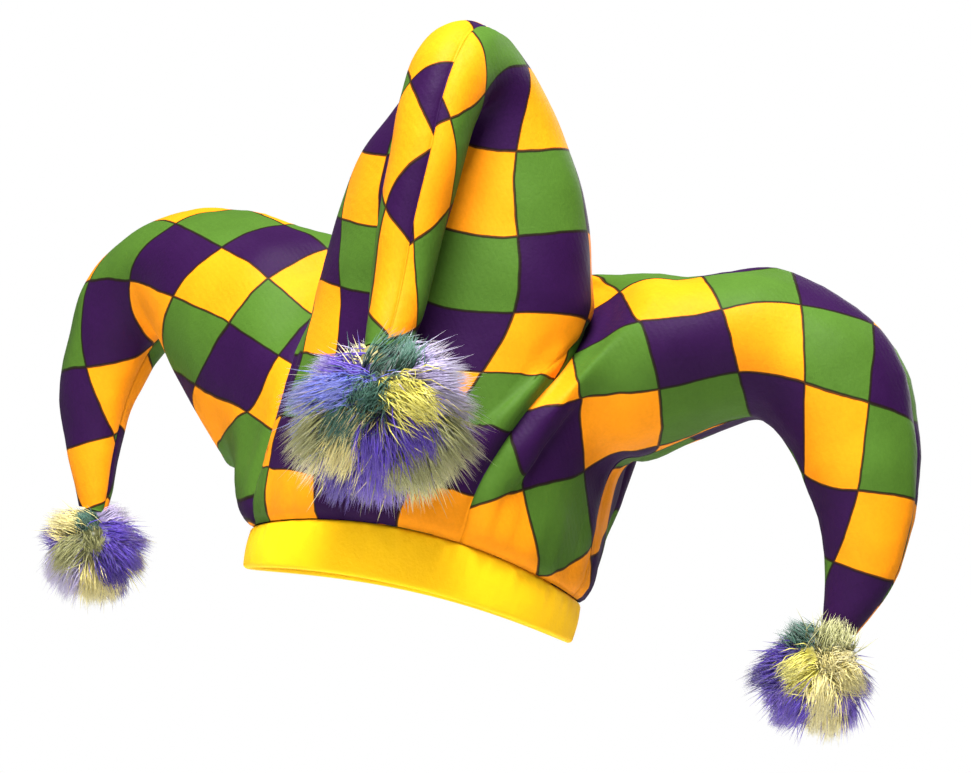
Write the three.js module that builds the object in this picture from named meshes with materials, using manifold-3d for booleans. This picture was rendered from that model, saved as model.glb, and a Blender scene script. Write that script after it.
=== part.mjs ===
import * as THREE from "three";
import { mergeVertices } from "three/addons/utils/BufferGeometryUtils.js";
import Module from "manifold-3d";

const wasm = await Module();
wasm.setup();

// Jester hat with three drooping points. Millimetres, +Z up, front towards -Y, origin in the middle of the rim.

// Head opening and band
const headWidth = 174; // inside the band, ear to ear
const headDepth = 190; // inside the band, front to back
const bandWall = 5;
const bandHeight = 29; // in the middle of the front
const bandSideHeight = 23; // over the ears
const rimRise = 9; // how far the lower edge is higher in front than over the ears
const rimTwist = 25; // degrees from the front to where the edge is highest
const bandEdge = 1.6; // rounding of the band's edges

// Cloth
const clothWall = 3; // foam-backed cloth
const seamGap = 0.3; // between neighbouring pieces of cloth
const footOut = 1.5; // how far the crown stands outside the band's middle line
const footGap = 0.5; // between the band and the crown
const crownTop = 188; // where the seams meet on top
const crownTopBack = 20; // how far that place lies behind the middle
const crownEye = 3; // radius of the small opening where the seams meet

// Points
const rightTop = 221;
const rightReach = 260;
const leftTop = 209;
const leftReach = 278;
const sideWidth = 60; // half the width of a side point where it leaves the crown
const sideTurn = 5; // degrees that the side points lean to the back
const frontTop = 305;
const frontReach = 146; // how far the hanging end is in front of the middle
const frontWidth = 78; // half the width of the front point where it leaves the crown
const frontDrift = 22; // how far its end hangs to the right

// Pompoms
const frontPompom = 47; // radius over the pile
const sidePompom = 37;
const pileShare = 0.3; // length of the locks, as a share of the radius
const tipDepth = 0.34; // how deep a tip sits in its pompom, as a share of the radius

// Fineness
const ringCells = 12; // cells over half a point's girth
const bandShare = 4; // of these, cells that lie along the band at the root
const rootCells = 7; // cells from the crown to the first section
const sideCells = 2; // cells between two sections of a side point
const bandCells = 48;

// The valleys between the points: angle at the band in degrees from the front, then rows of
// out (share of the band's half size at that angle), up (share of crownTop) and turn (degrees added to the angle).
const frontRightValley = {
  angle: 39,
  rows: [
    [1.0, 0, 0],
    [1.07, 0.33, 0],
    [1.11, 0.48, 4],
    [1.13, 0.61, 9],
    [1.11, 0.73, 16],
    [1.02, 0.85, 23],
    [0.84, 0.94, 28],
    [0.5, 0.985, 28],
  ],
};
const frontLeftValley = {
  angle: 50,
  rows: [
    [1.0, 0, 0],
    [1.04, 0.33, -4],
    [1.03, 0.48, -5],
    [1.01, 0.61, -2],
    [0.98, 0.73, 4],
    [0.91, 0.85, 11],
    [0.77, 0.94, 16],
    [0.48, 0.985, 16],
  ],
};
const backValley = {
  angle: 138,
  rows: [
    [1.0, 0, 0],
    [1.07, 0.33, 0],
    [1.1, 0.49, 0],
    [1.04, 0.65, 0],
    [0.87, 0.8, -1],
    [0.6, 0.92, -1],
    [0.32, 0.98, -1],
  ],
};

// Sections of the points, from the crown to the tip. Each row gives a place on the outer seam (out, up), one on
// the inner seam (out, up), half the width, and the drift, as shares of the point's reach, top, width and drift.
const frontSections = [
  [0.014, 0.6, 0.671, 0.555, 1.0, 0.36],
  [0.082, 0.716, 0.678, 0.668, 0.91, 0.27],
  [0.178, 0.813, 0.685, 0.748, 0.79, 0.27],
  [0.301, 0.894, 0.692, 0.8, 0.61, 0.36],
  [0.452, 0.961, 0.705, 0.826, 0.465, 0.45],
  [0.63, 0.997, 0.726, 0.835, 0.36, 0.5],
  [0.808, 0.981, 0.74, 0.829, 0.295, 0.55],
  [0.932, 0.923, 0.747, 0.813, 0.27, 0.59],
  [0.986, 0.832, 0.753, 0.774, 0.243, 0.59],
  [0.993, 0.729, 0.753, 0.697, 0.224, 0.64],
  [0.986, 0.623, 0.76, 0.603, 0.205, 0.64],
  [0.973, 0.523, 0.774, 0.503, 0.18, 0.73],
  [1.0, 0.445, 0.836, 0.419, 0.14, 0.91],
  [1.02, 0.4, 0.918, 0.374, 0.096, 1.0],
];
const rightSections = [
  [0.454, 0.93, 0.431, 0.48, 1.0, 0],
  [0.635, 0.985, 0.604, 0.613, 0.82, 0],
  [0.796, 0.928, 0.673, 0.629, 0.68, 0],
  [0.919, 0.824, 0.738, 0.566, 0.58, 0],
  [0.981, 0.643, 0.788, 0.489, 0.48, 0],
  [1.004, 0.498, 0.823, 0.43, 0.38, 0],
  [1.004, 0.362, 0.85, 0.353, 0.3, 0],
  [0.981, 0.262, 0.869, 0.258, 0.21, 0],
  [0.942, 0.172, 0.881, 0.163, 0.13, 0],
];
const leftSections = [
  [0.45, 0.962, 0.482, 0.273, 1.0, 0],
  [0.612, 0.99, 0.608, 0.44, 0.86, 0],
  [0.755, 0.965, 0.734, 0.6, 0.7, 0],
  [0.885, 0.865, 0.777, 0.579, 0.58, 0],
  [0.97, 0.715, 0.802, 0.502, 0.48, 0],
  [0.985, 0.55, 0.817, 0.407, 0.38, 0],
  [0.978, 0.383, 0.82, 0.311, 0.29, 0],
  [0.928, 0.23, 0.817, 0.215, 0.21, 0],
  [0.892, 0.144, 0.809, 0.134, 0.15, 0],
  [0.863, 0.072, 0.806, 0.067, 0.1, 0],
];

// Small helpers
const rad = (d) => (d * Math.PI) / 180;
const mix = (a, b, t) => a + (b - a) * t;
const smooth = (t) => t * t * (3 - 2 * t);
const vec = (x, y, z) => new THREE.Vector3(x, y, z);

// Smooth curve through the rows of a table, t from 0 to 1. Gives all columns.
function along(rows, t) {
  const x = Math.min(Math.max(t, 0), 1) * (rows.length - 1);
  const i = Math.min(Math.floor(x), rows.length - 2);
  const f = x - i;
  return rows[0].map((_, k) => {
    const p1 = rows[i][k];
    const p2 = rows[i + 1][k];
    const p0 = i > 0 ? rows[i - 1][k] : 2 * p1 - p2;
    const p3 = i + 2 < rows.length ? rows[i + 2][k] : 2 * p2 - p1;
    const m1 = (p2 - p0) / 2;
    const m2 = (p3 - p1) / 2;
    const f2 = f * f;
    const f3 = f2 * f;
    return (2 * f3 - 3 * f2 + 1) * p1 + (f3 - 2 * f2 + f) * m1 + (3 * f2 - 2 * f3) * p2 + (f3 - f2) * m2;
  });
}

// The band's middle line at an angle from the front, in degrees, positive towards +X.
const midX = headWidth / 2 + bandWall / 2;
const midY = headDepth / 2 + bandWall / 2;
const onBand = (deg, z, share = 1) => vec(midX * share * Math.sin(rad(deg)), -midY * share * Math.cos(rad(deg)), z);
const angleOf = (p) => (Math.atan2(p.x / midX, -p.y / midY) * 180) / Math.PI;
const arch = (deg) => Math.cos(rad(deg - rimTwist)) ** 2;
const rimAt = (deg) => rimRise * arch(deg);
const bandTopAt = (deg) => rimAt(deg) + mix(bandSideHeight, bandHeight, arch(deg));
const footAt = (deg) => bandTopAt(deg) + footGap;
const onFoot = (deg) => onBand(deg, footAt(deg), 1 + footOut / midX);
const eye = vec(0, crownTopBack, crownTop);
const onEye = (deg) => vec(crownEye * Math.sin(rad(deg)), -crownEye * Math.cos(rad(deg)), 0).add(eye);

// A point of a valley, w from 0 at the band to 1 at the eye. side is 1 for +X and -1 for -X.
function valley(v, side, w) {
  const pts = v.rows.map(([out, up, turn], i) => {
    const deg = side * (v.angle + turn);
    const p = i === 0 ? onFoot(deg) : onBand(deg, up * crownTop, out);
    return [p.x, p.y + crownTopBack * smooth(i / v.rows.length), p.z];
  });
  const end = onEye(side * v.angle);
  pts.push([end.x, end.y, end.z]);
  return vec(...along(pts, w));
}

// The frame of a section: centre, half depth and width, outward direction and the direction of the path.
function section(point, t) {
  const [outA, upA, outB, upB, width, drift] = along(point.sections, t);
  const at = (out, up) => point.dir.clone().multiplyScalar(out * point.reach).add(vec(0, 0, up * point.top));
  const a = at(outA, upA);
  const b = at(outB, upB);
  const outward = a.clone().sub(b).normalize();
  const p = a.clone().add(b).multiplyScalar(0.5).addScaledVector(point.side, drift * point.drift);
  const way = vec().crossVectors(point.side, outward).normalize();
  return { p, outward, way, depth: a.distanceTo(b) / 2, width: width * point.width };
}

// Half a section's outline, v from 0 at the under seam to 1 at the upper seam. hand is 1 or -1.
function onSection(point, hand, t, v) {
  const s = section(point, t);
  const a = Math.PI * v;
  return s.p
    .clone()
    .addScaledVector(s.outward, -Math.cos(a) * s.depth)
    .addScaledVector(point.side, hand * Math.sin(a) * s.width);
}

// The points, each with the valley on either hand. The sideways direction of a point is a quarter turn
// counter-clockwise from where it points, seen from above.
function makePoint(angle, sizes, sections, hands) {
  const dir = vec(Math.sin(rad(angle)), -Math.cos(rad(angle)), 0);
  const side = vec(-dir.y, dir.x, 0);
  return { angle, dir, side, sections, hands, drift: 0, ...sizes };
}
const frontPoint = makePoint(
  0,
  { reach: frontReach, top: frontTop, width: frontWidth, drift: frontDrift, lean: 0.25, cells: 1 },
  frontSections,
  { 1: { valley: frontRightValley, x: 1 }, "-1": { valley: frontLeftValley, x: -1 } },
);
const rightPoint = makePoint(
  90 + sideTurn,
  { reach: rightReach, top: rightTop, width: sideWidth, lean: 0.3, cells: sideCells },
  rightSections,
  { 1: { valley: backValley, x: 1 }, "-1": { valley: frontRightValley, x: 1 } },
);
const leftPoint = makePoint(
  -90 - sideTurn,
  { reach: leftReach, top: leftTop, width: sideWidth, lean: 0.7, cells: sideCells },
  leftSections,
  { 1: { valley: frontLeftValley, x: -1 }, "-1": { valley: backValley, x: -1 } },
);

// The root of half a point: along the band from its middle to the valley, up the valley, and over to the point's seam.
function onRoot(point, hand, j) {
  const { valley: v, x } = point.hands[hand];
  if (j <= bandShare) {
    const deg = mix(point.angle, x * v.angle, j / bandShare);
    return onFoot(deg);
  }
  if (j === ringCells) return onEye(point.angle);
  return valley(v, x, (j - bandShare) / (ringCells - 1 - bandShare));
}

// The direction in which half a point's cloth leaves its root: up from the band, and away from the valleys.
const openAtBand = 86; // degrees between the cloth and the crown's outward direction, at the band
const openAbove = 50; // the same, further up a valley
function leaving(point, hand, j, a) {
  const { valley: v, x } = point.hands[hand];
  const middle = crownTop * 0.35;
  const high = Math.max(a.z - middle, 0) / (crownTop - middle) ** 2;
  const outward = vec(a.x / midX ** 2, a.y / midY ** 2, high).normalize();
  const own = (t) => {
    const e = vec().crossVectors(outward, t).normalize();
    return e.dot(point.dir) < 0 ? e.negate() : e;
  };
  if (j <= bandShare) {
    const e = own(vec(0, 0, 1)).multiplyScalar(0.9 * (j / bandShare) ** 2);
    return vec(0, 0, 1).addScaledVector(outward, point.lean).add(e).normalize();
  }
  const w = (j - bandShare) / (ringCells - 1 - bandShare);
  const t = valley(v, x, Math.min(w + 0.02, 1)).sub(valley(v, x, Math.max(w - 0.02, 0)));
  const open = rad(mix(openAtBand, openAbove, smooth(Math.min(w * 2.5, 1))));
  return own(t.normalize()).multiplyScalar(Math.sin(open)).addScaledVector(outward, Math.cos(open)).normalize();
}

// Middle surface of half a point as a grid of rows from the root to the tip.
function halfPoint(point, hand) {
  const grid = [];
  const cells = rootCells + point.cells * (point.sections.length - 1);
  const first = section(point, 0);
  for (let i = 0; i <= cells; i++) {
    const row = [];
    for (let j = 0; j <= ringCells; j++) {
      const v = j / ringCells;
      if (i >= rootCells) {
        row.push(onSection(point, hand, (i - rootCells) / (cells - rootCells), v));
        continue;
      }
      const a = onRoot(point, hand, j);
      const d = onSection(point, hand, 0, v);
      const gap = d.distanceTo(a);
      const rise = j < ringCells ? leaving(point, hand, j, a) : d.clone().sub(a).normalize();
      const room = Math.abs(a.clone().sub(eye).dot(point.side));
      const b = a.clone().addScaledVector(rise, j > bandShare ? Math.min(gap * 0.3, room * 0.8) : gap * 0.4);
      const c = d.clone().addScaledVector(first.way, -gap * 0.33);
      const t = i / rootCells;
      const s = 1 - t;
      const p = a.multiplyScalar(s * s * s).addScaledVector(b, 3 * s * s * t);
      row.push(p.addScaledVector(c, 3 * s * t * t).addScaledVector(d, t * t * t));
    }
    grid.push(row);
  }
  return grid;
}

// Middle surface of the back panel: rows from the band to the eye, columns from the right valley to the left one.
const panelRows = ringCells - 1 - bandShare;
const panelBulge = 0.34; // how far the panel's middle stands out, as a share of the width between its valleys
function backPanel() {
  const grid = [];
  const cells = 2 * bandShare + 4;
  const full = 180 - backValley.angle;
  for (let i = 0; i <= panelRows; i++) {
    const w = i / panelRows;
    const right = valley(backValley, 1, w);
    const left = valley(backValley, -1, w);
    const row = [];
    for (let j = 0; j <= cells; j++) {
      const deg = mix(backValley.angle, 360 - backValley.angle, j / cells);
      if (i === 0) {
        row.push(onFoot(deg));
        continue;
      }
      const arc = (Math.cos(rad(180 - deg)) - Math.cos(rad(full))) / (1 - Math.cos(rad(full)));
      const p = vec(right.x * (Math.sin(rad(deg)) / Math.sin(rad(backValley.angle))), right.y, right.z);
      const foot = midY * (1 - Math.cos(rad(full)));
      const up = smooth(Math.min(w * 1.4, 1)) * 0.8;
      const bulge = mix(foot, panelBulge * (right.x - left.x), smooth(w));
      p.y += arc * bulge * Math.cos(up);
      p.z += arc * bulge * Math.sin(up) * w;
      row.push(p);
    }
    grid.push(row);
  }
  return grid;
}

// Normals of a grid, facing out of the hat.
function gridNormals(grid, flip) {
  const last = grid.length - 1;
  const end = grid[0].length - 1;
  return grid.map((row, i) =>
    row.map((_, j) => {
      const du = grid[Math.min(i + 1, last)][j].clone().sub(grid[Math.max(i - 1, 0)][j]);
      const dv = grid[i][Math.min(j + 1, end)].clone().sub(grid[i][Math.max(j - 1, 0)]);
      return vec().crossVectors(du, dv).multiplyScalar(flip).normalize();
    }),
  );
}

// All cloth pieces, with their normals shared along the seams.
const cloth = [
  { name: "front_point_right", grid: halfPoint(frontPoint, 1), flip: -1 },
  { name: "front_point_left", grid: halfPoint(frontPoint, -1), flip: 1 },
  { name: "right_point_front", grid: halfPoint(rightPoint, -1), flip: 1 },
  { name: "right_point_back", grid: halfPoint(rightPoint, 1), flip: -1 },
  { name: "left_point_front", grid: halfPoint(leftPoint, 1), flip: -1 },
  { name: "left_point_back", grid: halfPoint(leftPoint, -1), flip: 1 },
  { name: "back_panel", grid: backPanel(), flip: -1 },
];
const key = (p) => [p.x, p.y, p.z].map((n) => n.toFixed(2)).join();
const shared = new Map();
for (const piece of cloth) {
  piece.normals = gridNormals(piece.grid, piece.flip);
  piece.grid.forEach((row, i) =>
    row.forEach((p, j) => {
      const edge = i === 0 || j === 0 || i === piece.grid.length - 1 || j === row.length - 1;
      if (!edge) return;
      const k = key(p);
      if (!shared.has(k)) shared.set(k, []);
      shared.get(k).push(piece.normals[i][j].clone());
    }),
  );
}
const mostMitre = 1.4; // a wall is at most this much deeper along a seam than elsewhere

// One solid wall around a middle surface, its edges half a seam gap back from the seam.
function wall(piece) {
  const { grid, normals } = piece;
  const last = grid.length - 1;
  const end = grid[0].length - 1;
  const outer = [];
  const inner = [];
  grid.forEach((row, i) =>
    row.forEach((p, j) => {
      const own = normals[i][j];
      let n = own.clone();
      let deep = 1;
      const place = p.clone();
      if (i === 0 || j === 0 || i === last || j === end) {
        n = shared.get(key(p)).reduce((a, b) => a.add(b), vec(0, 0, 0)).normalize();
        const atFoot = i === 0 && Math.abs(p.z - footAt(angleOf(p))) < 1e-3;
        if (atFoot) n.set(p.x / midX ** 2, p.y / midY ** 2, 0).normalize();
        deep = Math.min(1 / Math.max(n.dot(own), 0.1), mostMitre);
        const ways = [];
        if (j === 0 || j === end) ways.push([grid[Math.min(i + 1, last)][j], grid[Math.max(i - 1, 0)][j], row[j ? end - 1 : 1]]);
        if (i === 0) ways.push([row[Math.min(j + 1, end)], row[Math.max(j - 1, 0)], grid[1][j]]);
        if (i === last && piece.name === "back_panel") {
          ways.push([row[Math.min(j + 1, end)], row[Math.max(j - 1, 0)], grid[last - 1][j]]);
        }
        for (const [a, b, inside] of ways) {
          const tangent = a.clone().sub(b).normalize();
          const away = vec().crossVectors(tangent, n).normalize();
          if (away.dot(inside.clone().sub(p)) < 0) away.negate();
          if (atFoot) away.z = 0;
          place.addScaledVector(away, seamGap / 2);
        }
        if (atFoot) place.z = footAt(angleOf(place));
      }
      outer.push(place.clone().addScaledVector(n, (deep * clothWall) / 2));
      inner.push(place.clone().addScaledVector(n, (-deep * clothWall) / 2));
    }),
  );
  return solidOf(outer, inner, last, end, piece.flip);
}

// Stitches an outer and an inner grid into one closed body.
function solidOf(outer, inner, last, end, flip) {
  const points = outer.concat(inner);
  const wide = end + 1;
  const base = outer.length;
  const at = (i, j) => i * wide + j;
  const tris = [];
  const quad = (a, b, c, d) => {
    if (flip > 0) tris.push(a, b, c, a, c, d);
    else tris.push(a, c, b, a, d, c);
  };
  for (let i = 0; i < last; i++) {
    for (let j = 0; j < end; j++) {
      quad(at(i, j), at(i + 1, j), at(i + 1, j + 1), at(i, j + 1));
      quad(base + at(i, j), base + at(i, j + 1), base + at(i + 1, j + 1), base + at(i + 1, j));
    }
  }
  for (let i = 0; i < last; i++) {
    quad(at(i, 0), base + at(i, 0), base + at(i + 1, 0), at(i + 1, 0));
    quad(at(i + 1, end), base + at(i + 1, end), base + at(i, end), at(i, end));
  }
  for (let j = 0; j < end; j++) {
    quad(at(0, j + 1), base + at(0, j + 1), base + at(0, j), at(0, j));
    quad(at(last, j), base + at(last, j), base + at(last, j + 1), at(last, j + 1));
  }
  return bodyOf(points, tris);
}

function bodyOf(points, tris) {
  const flat = new Float32Array(points.length * 3);
  points.forEach((p, i) => flat.set([p.x, p.y, p.z], i * 3));
  const g = new THREE.BufferGeometry();
  g.setAttribute("position", new THREE.BufferAttribute(flat, 3));
  g.setIndex(tris);
  return g;
}

// The band: a rounded strip on edge, swept round the head.
function band() {
  const h = bandWall / 2;
  const e = Math.min(bandEdge, bandWall * 0.4, bandSideHeight * 0.4);
  // Rows of: distance from the middle line, which edge (0 the lower, 1 the upper), distance from that edge.
  const profile = [
    [-h, 0, e],
    [-h + e, 0, 0],
    [h - e, 0, 0],
    [h, 0, e],
    [h, 1, -e * 0.5],
    [h - e * 0.5, 1, 0],
    [-h + e * 0.5, 1, 0],
    [-h, 1, -e * 0.5],
  ];
  const points = [];
  const tris = [];
  const n = profile.length;
  for (let i = 0; i < bandCells; i++) {
    const deg = (360 * i) / bandCells;
    const p = onBand(deg, 0);
    const out = vec(p.x / midX ** 2, p.y / midY ** 2, 0).normalize();
    for (const [r, edge, dz] of profile) {
      points.push(p.clone().addScaledVector(out, r).setZ((edge ? bandTopAt(deg) : rimAt(deg)) + dz));
    }
    for (let j = 0; j < n; j++) {
      const a = i * n + j;
      const b = i * n + ((j + 1) % n);
      const c = ((i + 1) % bandCells) * n + ((j + 1) % n);
      const d = ((i + 1) % bandCells) * n + j;
      tris.push(a, c, b, a, d, c);
    }
  }
  return bodyOf(points, tris);
}

// Pompoms
const toManifold = (g) => {
  const m = mergeVertices(new THREE.BufferGeometry().setAttribute("position", g.getAttribute("position")).setIndex(g.index), 1e-4);
  return new wasm.Manifold(
    new wasm.Mesh({ numProp: 3, vertProperties: m.attributes.position.array, triVerts: new Uint32Array(m.index.array) }),
  );
};
function fromManifold(solid) {
  const mesh = solid.getMesh();
  const g = new THREE.BufferGeometry();
  g.setAttribute("position", new THREE.BufferAttribute(new Float32Array(mesh.vertProperties), 3));
  g.setIndex(new THREE.BufferAttribute(new Uint32Array(mesh.triVerts), 1));
  return g;
}

// Even directions over a ball, each a little off in a fixed way.
function spokes(count) {
  const list = [];
  for (let i = 0; i < count; i++) {
    const z = 1 - (2 * (i + 0.5)) / count;
    const a = i * 2.39996 + 0.35 * Math.sin(i * 4.7);
    const r = Math.sqrt(1 - z * z);
    list.push(vec(r * Math.cos(a), r * Math.sin(a), z));
  }
  return list;
}

// A ball of pile in locks, at the end of a point. hang is where it hangs from the tip, and room is how far it may
// reach towards the crown.
function pompom(point, radius, hang, locks, room) {
  const tip = section(point, 1);
  const centre = tip.p.clone().addScaledVector(hang.clone().normalize(), radius * (1 - tipDepth));
  const coreRadius = radius * (1 - pileShare);
  const core = new THREE.IcosahedronGeometry(coreRadius, 2);
  const seat = centre.clone().multiplyScalar(-1).setZ(0).normalize();
  const limit = (d, r) => {
    const c = d.dot(seat);
    return c > 0.05 && room < r * c ? room / c : r;
  };
  const pos = core.getAttribute("position");
  for (let i = 0; i < pos.count; i++) {
    const d = vec().fromBufferAttribute(pos, i).normalize();
    const r = limit(d, coreRadius * (1 + 0.04 * Math.sin(5 * d.x + 7 * d.y) + 0.03 * Math.cos(9 * d.z)));
    pos.setXYZ(i, d.x * r, d.y * r, d.z * r);
  }
  const parts = [toManifold(core)];
  spokes(locks).forEach((d, i) => {
    const reach = limit(d, radius * (0.93 + 0.07 * Math.sin(i * 2.3)));
    if (reach < coreRadius * 1.12) return;
    const foot = coreRadius * 0.7;
    const wide = coreRadius * 0.42;
    const lock = new THREE.CylinderGeometry(wide * 0.3, wide, reach - foot, 4, 1);
    lock.translate(0, (reach + foot) / 2, 0);
    lock.applyQuaternion(new THREE.Quaternion().setFromUnitVectors(vec(0, 1, 0), d));
    parts.push(toManifold(lock));
  });
  let solid = wasm.Manifold.union(parts);
  solid = solid.translate([centre.x, centre.y, centre.z]);
  const near = Math.max(tip.depth, tip.width) + clothWall / 2 + seamGap;
  const hole = new THREE.CylinderGeometry(near, near + radius * 0.5, radius, 12);
  hole.translate(0, seamGap * 1.5 - radius / 2, 0);
  hole.applyQuaternion(new THREE.Quaternion().setFromUnitVectors(vec(0, 1, 0), tip.way));
  hole.translate(tip.p.x, tip.p.y, tip.p.z);
  const bodies = solid.subtract(toManifold(hole)).decompose();
  return fromManifold(bodies.reduce((a, b) => (b.volume() > a.volume() ? b : a)));
}

// Materials
const printed = new THREE.MeshStandardMaterial({ color: 0xf4b41c, roughness: 0.75, metalness: 0 });
const printedGreen = new THREE.MeshStandardMaterial({ color: 0x4f9440, roughness: 0.75, metalness: 0 });
const printedPurple = new THREE.MeshStandardMaterial({ color: 0x4a2566, roughness: 0.75, metalness: 0 });
const plainYellow = new THREE.MeshStandardMaterial({ color: 0xffcf1a, roughness: 0.75, metalness: 0 });
const pile = new THREE.MeshStandardMaterial({ color: 0x6a5fa0, roughness: 0.9, metalness: 0 });

const colours = {
  front_point_right: printedGreen,
  front_point_left: printed,
  right_point_front: printedPurple,
  right_point_back: printed,
  left_point_front: printedGreen,
  left_point_back: printed,
  back_panel: printedPurple,
};

const hat = new THREE.Group();
hat.name = "jester_hat";
const add = (name, geometry, material) => {
  const mesh = new THREE.Mesh(geometry, material);
  mesh.name = name;
  hat.add(mesh);
};
add("headband", band(), plainYellow);
for (const piece of cloth) add(piece.name, wall(piece), colours[piece.name]);
const droop = (point) => point.dir.clone().multiplyScalar(-0.3).setZ(-1);
add("pompom_front", pompom(frontPoint, frontPompom, vec(0.2, -0.15, -1), 25, frontPompom * 0.85), pile);
add("pompom_left", pompom(leftPoint, sidePompom, droop(leftPoint), 21, sidePompom * 2), pile);
add("pompom_right", pompom(rightPoint, sidePompom, droop(rightPoint), 21, sidePompom * 2), pile);

export default hat;
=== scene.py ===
"""Jester hat with three drooping points, in check-printed foam-backed cloth with long-pile pompoms.

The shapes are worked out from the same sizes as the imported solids. Lengths in the shape functions are
millimetres, and each finished mesh is in metres.
"""

import bpy
import numpy as np
from mathutils import Matrix


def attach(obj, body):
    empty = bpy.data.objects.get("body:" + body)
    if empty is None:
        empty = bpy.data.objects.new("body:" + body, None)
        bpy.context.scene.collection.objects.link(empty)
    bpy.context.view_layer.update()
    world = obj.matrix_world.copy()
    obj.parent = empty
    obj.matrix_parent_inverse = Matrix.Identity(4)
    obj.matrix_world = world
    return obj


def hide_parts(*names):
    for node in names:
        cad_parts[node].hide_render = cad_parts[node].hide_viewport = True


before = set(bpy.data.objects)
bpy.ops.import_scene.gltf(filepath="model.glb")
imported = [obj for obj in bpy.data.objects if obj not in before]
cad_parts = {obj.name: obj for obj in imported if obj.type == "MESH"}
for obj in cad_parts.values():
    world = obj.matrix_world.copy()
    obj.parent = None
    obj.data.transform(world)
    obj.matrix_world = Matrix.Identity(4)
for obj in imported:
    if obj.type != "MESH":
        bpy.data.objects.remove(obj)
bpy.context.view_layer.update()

# Sizes of the part, in millimetres, as its source has them
HEAD_WIDTH, HEAD_DEPTH, BAND_WALL = 174, 190, 5
BAND_HEIGHT, BAND_SIDE_HEIGHT, RIM_RISE, RIM_TWIST = 29, 23, 9, 25
FOOT_OUT, FOOT_GAP = 1.5, 0.5
CROWN_TOP, CROWN_TOP_BACK, CROWN_EYE = 188, 20, 3
FRONT_TWIST = 0.55  # radians by which the hanging end's seam is twisted to the wearer's left
SIDE_TURN, SIDE_WIDTH = 5, 60
RIGHT_TOP, RIGHT_REACH, LEFT_TOP, LEFT_REACH = 221, 260, 209, 278
FRONT_TOP, FRONT_REACH, FRONT_WIDTH, FRONT_DRIFT = 305, 146, 78, 22
FRONT_POMPOM, SIDE_POMPOM, TIP_DEPTH = 47, 37, 0.34
RING_CELLS, BAND_SHARE = 12, 4
MID_X, MID_Y = HEAD_WIDTH / 2 + BAND_WALL / 2, HEAD_DEPTH / 2 + BAND_WALL / 2
EYE = np.array([0.0, CROWN_TOP_BACK, CROWN_TOP])

# Valleys between the points: angle at the band, then rows of out, up and turn
FRONT_RIGHT_VALLEY = (39, [[1.0, 0, 0], [1.07, 0.33, 0], [1.11, 0.48, 4], [1.13, 0.61, 9],
                           [1.11, 0.73, 16], [1.02, 0.85, 23], [0.84, 0.94, 28], [0.5, 0.985, 28]])
FRONT_LEFT_VALLEY = (50, [[1.0, 0, 0], [1.04, 0.33, -4], [1.03, 0.48, -5], [1.01, 0.61, -2],
                          [0.98, 0.73, 4], [0.91, 0.85, 11], [0.77, 0.94, 16], [0.48, 0.985, 16]])
BACK_VALLEY = (138, [[1.0, 0, 0], [1.07, 0.33, 0], [1.1, 0.49, 0], [1.04, 0.65, 0],
                     [0.87, 0.8, -1], [0.6, 0.92, -1], [0.32, 0.98, -1]])

# Sections of the points: outer seam (out, up), inner seam (out, up), half width, drift
FRONT_SECTIONS = [
    [0.014, 0.6, 0.671, 0.555, 1.0, 0.36], [0.082, 0.716, 0.678, 0.668, 0.91, 0.27],
    [0.178, 0.813, 0.685, 0.748, 0.79, 0.27], [0.301, 0.894, 0.692, 0.8, 0.61, 0.36],
    [0.452, 0.961, 0.705, 0.826, 0.465, 0.45], [0.63, 0.997, 0.726, 0.835, 0.36, 0.5],
    [0.808, 0.981, 0.74, 0.829, 0.295, 0.55], [0.932, 0.923, 0.747, 0.813, 0.27, 0.59],
    [0.986, 0.832, 0.753, 0.774, 0.243, 0.59], [0.993, 0.729, 0.753, 0.697, 0.224, 0.64],
    [0.986, 0.623, 0.76, 0.603, 0.205, 0.64], [0.973, 0.523, 0.774, 0.503, 0.18, 0.73],
    [1.0, 0.445, 0.836, 0.419, 0.14, 0.91], [1.02, 0.4, 0.918, 0.374, 0.096, 1.0]]
RIGHT_SECTIONS = [
    [0.454, 0.93, 0.431, 0.48, 1.0, 0], [0.635, 0.985, 0.604, 0.613, 0.82, 0],
    [0.796, 0.928, 0.673, 0.629, 0.68, 0], [0.919, 0.824, 0.738, 0.566, 0.58, 0],
    [0.981, 0.643, 0.788, 0.489, 0.48, 0], [1.004, 0.498, 0.823, 0.43, 0.38, 0],
    [1.004, 0.362, 0.85, 0.353, 0.3, 0], [0.981, 0.262, 0.869, 0.258, 0.21, 0],
    [0.942, 0.172, 0.881, 0.163, 0.13, 0]]
LEFT_SECTIONS = [
    [0.45, 0.962, 0.482, 0.273, 1.0, 0], [0.612, 0.99, 0.608, 0.44, 0.86, 0],
    [0.755, 0.965, 0.734, 0.6, 0.7, 0], [0.885, 0.865, 0.777, 0.579, 0.58, 0],
    [0.97, 0.715, 0.802, 0.502, 0.48, 0], [0.985, 0.55, 0.817, 0.407, 0.38, 0],
    [0.978, 0.383, 0.82, 0.311, 0.29, 0], [0.928, 0.23, 0.817, 0.215, 0.21, 0],
    [0.892, 0.144, 0.809, 0.134, 0.15, 0], [0.863, 0.072, 0.806, 0.067, 0.1, 0]]


def unit(a):
    """Each vector divided by its own length."""
    return a / np.maximum(np.linalg.norm(a, axis=-1, keepdims=True), 1e-12)


def ease(t):
    """3 t squared less 2 t cubed, with t held between 0 and 1."""
    t = np.clip(t, 0, 1)
    return t * t * (3 - 2 * t)


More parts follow.
